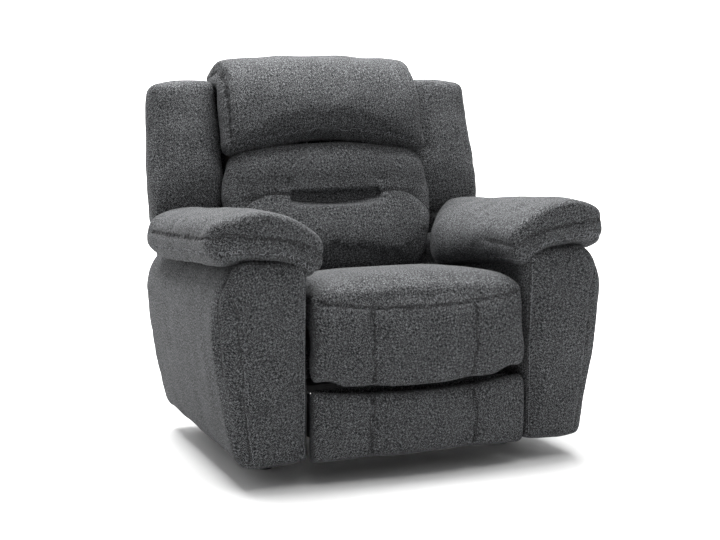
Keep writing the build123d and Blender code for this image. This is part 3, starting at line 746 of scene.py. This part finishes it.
def build_pillow():
    profile = [(0.441, 0.104), (0.470, 0.116), (0.520, 0.119), (0.570, 0.112), (0.622, 0.092),
               (0.664, 0.060), (0.688, 0.016), (0.694, -0.035), (0.687, -0.090), (0.668, -0.134),
               (0.642, -0.150), (0.628, -0.130), (0.626, -0.080), (0.624, -0.045), (0.600, -0.035),
               (0.540, -0.032), (0.470, -0.030), (0.440, -0.018), (0.434, 0.030), (0.434, 0.078)]

    def place(x, s, d):
        u = np.clip(np.abs(x) / 0.30, 0, 1)
        low = bump01(-s, -0.53, -0.44)
        s = s + 0.026 * low - 0.052 * u ** 2.0 * low
        d = d - 0.030 * u ** 2.4 * bump01(d, -0.02, 0.10)
        x = x * (1 - 0.08 * bump01(-d, -0.012, 0.02) * bump01(-s, -0.63, -0.60))
        top = bump01(s, 0.56, 0.69)
        s = s - 0.016 * u ** 3 * top
        x = x * (1 - 0.004 * top + 0.008 * low)
        return back_xyz(x, s, d)

    obj = sweep("head_pillow_soft", profile, (-0.300, 0.300), (0.040, 0.040), (0.004, 0.004), place,
                count=190)
    remesh(obj, 0.0075)
    inflate(obj, 4.0, 0.009, 18)
    divide(obj)
    ripple(obj, 0.0016, 0.12, 51)
    round_the_end = ((0.276, 0.432, 0.080), (0.286, 0.47, 0.082), (0.291, 0.53, 0.080),
                     (0.294, 0.59, 0.066), (0.297, 0.635, 0.040), (0.297, 0.662, 0.000),
                     (0.295, 0.660, -0.06), (0.292, 0.646, -0.12))
    side = [[back_xyz(e * x, s, d) for x, s, d in round_the_end] for e in (-1, 1)]
    across = np.linspace(-0.272, 0.272, 11)
    hem = [[back_xyz(x, 0.464 - 0.046 * (abs(x) / 0.29) ** 2.0, 0.11) for x in across]]
    sew(obj, side, deep=0.0026, narrow=0.0045, pull=0.006, wide=0.020, pucker=0.0020, pitch=0.017, seed=12)
    sew(obj, hem, deep=0.0018, narrow=0.0035, pull=0.0022, wide=0.010, pucker=0.0006, seed=13)
    return obj, side, hem


def build_lumbar():
    profile = [(0.080, 0.098), (0.086, 0.118), (0.110, 0.130), (0.150, 0.135), (0.200, 0.130),
               (0.245, 0.118), (0.285, 0.105), (0.325, 0.100), (0.370, 0.099), (0.405, 0.090),
               (0.426, 0.068), (0.431, 0.030), (0.425, -0.025), (0.400, -0.038), (0.300, -0.040),
               (0.200, -0.040), (0.110, -0.040), (0.078, -0.028), (0.074, 0.020), (0.075, 0.065)]

    def place(x, s, d):
        wide = curve([0.06, 0.11, 0.17, 0.24, 0.30, 0.36, 0.43],
                     [0.246, 0.262, 0.280, 0.303, 0.310, 0.300, 0.280])(s)
        low_reclined = 1 - bump01(0.64 * s + 0.77 * d, 0.170, 0.205)
        wide = wide - np.maximum(wide - 0.276, 0) * low_reclined
        x = x / 0.29 * wide
        x = x * (1 - 0.09 * bump01(-d, -0.020, 0.01) * bump01(s, 0.12, 0.24))
        u = np.clip(np.abs(x) / wide, 0, 1)
        d = d - 0.020 * u ** 3 * bump01(d, 0.02, 0.10)
        s = s + 0.026 * (1 - u ** 2) * bump01(s, 0.37, 0.42)
        return back_xyz(x, s, d)

    obj = sweep("lumbar_soft", profile, (-0.290, 0.290), (0.034, 0.034), (0.004, 0.004), place, count=190)
    remesh(obj, 0.0075)
    inflate(obj, 4.0, 0.008, 18)
    divide(obj)
    ripple(obj, 0.0014, 0.12, 61)
    dent(obj, back_xyz(0, 0.292, 0.10), (0.140, 0.09, 0.016), 0.012, 3)
    tuft = [[back_xyz(x, s, 0.09) for x, s in
             ((-0.134, 0.293), (-0.115, 0.286), (-0.06, 0.281), (0, 0.279), (0.06, 0.282), (0.115, 0.290),
              (0.136, 0.299))]]
    rising = [[(-0.132, 0.292), (-0.135, 0.320), (-0.129, 0.352)],
              [(0.134, 0.298), (0.139, 0.328), (0.130, 0.366)]]
    sides = [[back_xyz(x, s, 0.09) for x, s in line] for line in rising]
    falling = [(0.136, 0.300), (0.165, 0.304), (0.205, 0.298), (0.250, 0.278), (0.292, 0.243)]
    arcs = [[back_xyz(e * x, s, 0.09) for x, s in falling] for e in (-1, 1)]
    sew(obj, tuft, deep=0.0060, narrow=0.0055, pull=0.010, wide=0.019, seed=14, fade=0.012)
    sew(obj, sides, deep=0.0020, narrow=0.0045, pull=0.005, wide=0.016, seed=18, fade=0.035)
    sew(obj, arcs, deep=0.0020, narrow=0.0035, pull=0.0015, wide=0.014, seed=15)
    return obj, tuft, arcs


def build_back_cover():
    profile = [(-0.453, 0.24), (-0.454, 0.42), (-0.452, 0.585), (-0.432, 0.618), (-0.38, 0.626),
               (-0.2, 0.627), (0, 0.628), (0.2, 0.627), (0.38, 0.626), (0.432, 0.618), (0.452, 0.585),
               (0.454, 0.42), (0.453, 0.24), (0.446, 0.14), (0.432, 0.104), (0.40, 0.097), (0.2, 0.096),
               (0, 0.096), (-0.2, 0.096), (-0.40, 0.097), (-0.432, 0.104), (-0.446, 0.14)]

    def place(d, x, s):
        lip = bump01(-s, -0.17, -0.10) * bump01(-d, 0.150, 0.170)
        return back_xyz(x, s - 0.048 * lip, d)

    obj = sweep("back_cover_soft", profile, (-0.184, -0.1075), (0.024, 0.010), (0.006, 0.0), place, count=240)
    remesh(obj, 0.009)
    inflate(obj, 2.0, 0.004, 12)
    divide(obj)
    ripple(obj, 0.0014, 0.2, 71)
    top = ((-0.40, 0.600), (-0.2, 0.604), (0, 0.605), (0.2, 0.604), (0.40, 0.600))
    bottom = ((-0.415, 0.135), (-0.2, 0.131), (0, 0.130), (0.2, 0.131), (0.415, 0.135))
    left = ((0.40, 0.600), (0.425, 0.42), (0.432, 0.25), (0.415, 0.135))
    right = tuple((-x, s) for x, s in left)
    seams = [[back_xyz(x, s, -0.19) for x, s in line] for line in (top, bottom, right, left)]
    sew(obj, seams, deep=0.0024, narrow=0.004, pull=0.002, wide=0.018, pucker=0.0004, seed=16)
    return obj, seams


wing, wing_seams = build_wing()
wing_twin = mirrored(wing, "wing_soft_right")
for side, w in (("left", wing), ("right", wing_twin)):
    dress(w, FABRIC, "back", [f"wing_{side}"])
    lines = wing_seams if side == "left" else flip(wing_seams)
    dress(thread(f"wing_seam_{side}", w, lines, 0.0006), SEAM, "back")
pillow, pillow_side, pillow_hem = build_pillow()
dress(pillow, FABRIC, "back", ["head_pillow"])
dress(thread("pillow_seam", pillow, pillow_side), SEAM, "back")
dress(thread("pillow_stitch", pillow, pillow_hem, 0.0006, -0.0001, 0.0040, 0.0028), STITCH, "back")
lumbar, lumbar_tuft, lumbar_arcs = build_lumbar()
dress(lumbar, FABRIC, "back", ["lumbar_cushion", "mid_cushion"])
dress(thread("lumbar_seam", lumbar, lumbar_tuft + lumbar_arcs), SEAM, "back")
cover, cover_seams = build_back_cover()
dress(cover, FABRIC, "back", ["back_cover"])
dress(thread("back_cover_seam", cover, cover_seams), SEAM, "back")


# ---------------------------------------------------------------- stage, light, camera
def stage_floor():
    m, nodes, links, bsdf = nodes_of("pale_floor")
    bsdf.inputs["Base Color"].default_value = (0.80, 0.80, 0.80, 1)
    bsdf.inputs["Roughness"].default_value = 0.9
    reach, glow = nodes.new("ShaderNodeVectorMath"), nodes.new("ShaderNodeMapRange")
    reach.operation = "LENGTH"
    links.new(nodes.new("ShaderNodeTexCoord").outputs["Object"], reach.inputs[0])
    links.new(reach.outputs["Value"], glow.inputs["Value"])
    glow.inputs["From Min"].default_value, glow.inputs["From Max"].default_value = 2.0, 4.5
    glow.inputs["To Max"].default_value = 0.75
    links.new(glow.outputs[0], bsdf.inputs["Emission Strength"])
    bsdf.inputs["Emission Color"].default_value = (1, 1, 1, 1)
    mesh = bpy.data.meshes.new("floor")
    rows = [(-12, 0.0), (3.2, 0.0)]
    rows += [(3.2 + 1.5 * math.sin(a), 1.5 * (1 - math.cos(a))) for a in np.linspace(0.1, math.pi / 2, 14)]
    rows += [(4.7, 9.0)]
    verts = [(x, y, z) for y, z in rows for x in (-14, 14)]
    mesh.from_pydata(verts, [], [(2 * i, 2 * i + 1, 2 * i + 3, 2 * i + 2) for i in range(len(rows) - 1)])
    obj = bpy.data.objects.new("floor", mesh)
    bpy.context.scene.collection.objects.link(obj)
    obj.data.materials.append(m)
    for poly in mesh.polygons:
        poly.use_smooth = True


def area(name, place, target, size, power):
    light = bpy.data.lights.new(name, "AREA")
    light.shape, light.size, light.size_y, light.energy = "RECTANGLE", size[0], size[1], power
    obj = bpy.data.objects.new(name, light)
    bpy.context.scene.collection.objects.link(obj)
    obj.location = place
    obj.rotation_euler = (Vector(target) - Vector(place)).to_track_quat("-Z", "Y").to_euler()


stage_floor()
world = bpy.data.worlds.new("studio")
bpy.context.scene.world = world
world.use_nodes = True
world.node_tree.nodes["Background"].inputs[0].default_value = (1, 1, 1, 1)
world.node_tree.nodes["Background"].inputs[1].default_value = 0.22
area("key", (0.1, -1.7, 3.2), (0, 0, 0.4), size=(2.2, 1.6), power=46)
area("top", (0.0, 0.6, 3.4), (0, 0.1, 0.4), size=(3.0, 2.4), power=395)
area("fill", (2.4, -2.8, 1.8), (0, 0, 0.5), size=(2.0, 2.0), power=12)
area("backdrop", (0.0, 2.0, 3.4), (0, 4.6, 1.2), size=(6.0, 1.5), power=190)

EYE_AT = (-1.387, -3.501, 0.983)
EYE_DOWN, EYE_ROUND = 8.083, 21.894
camera = bpy.data.cameras.new("camera")
camera.lens, camera.sensor_width = 71.0, 36.0
eye = bpy.data.objects.new("camera", camera)
bpy.context.scene.collection.objects.link(eye)
eye.location = EYE_AT
eye.rotation_euler = (math.radians(90 - EYE_DOWN), 0, math.radians(-EYE_ROUND))
bpy.context.scene.camera = eye
bpy.context.scene.view_settings.view_transform = "Standard"
bpy.context.scene.view_settings.look = "None"
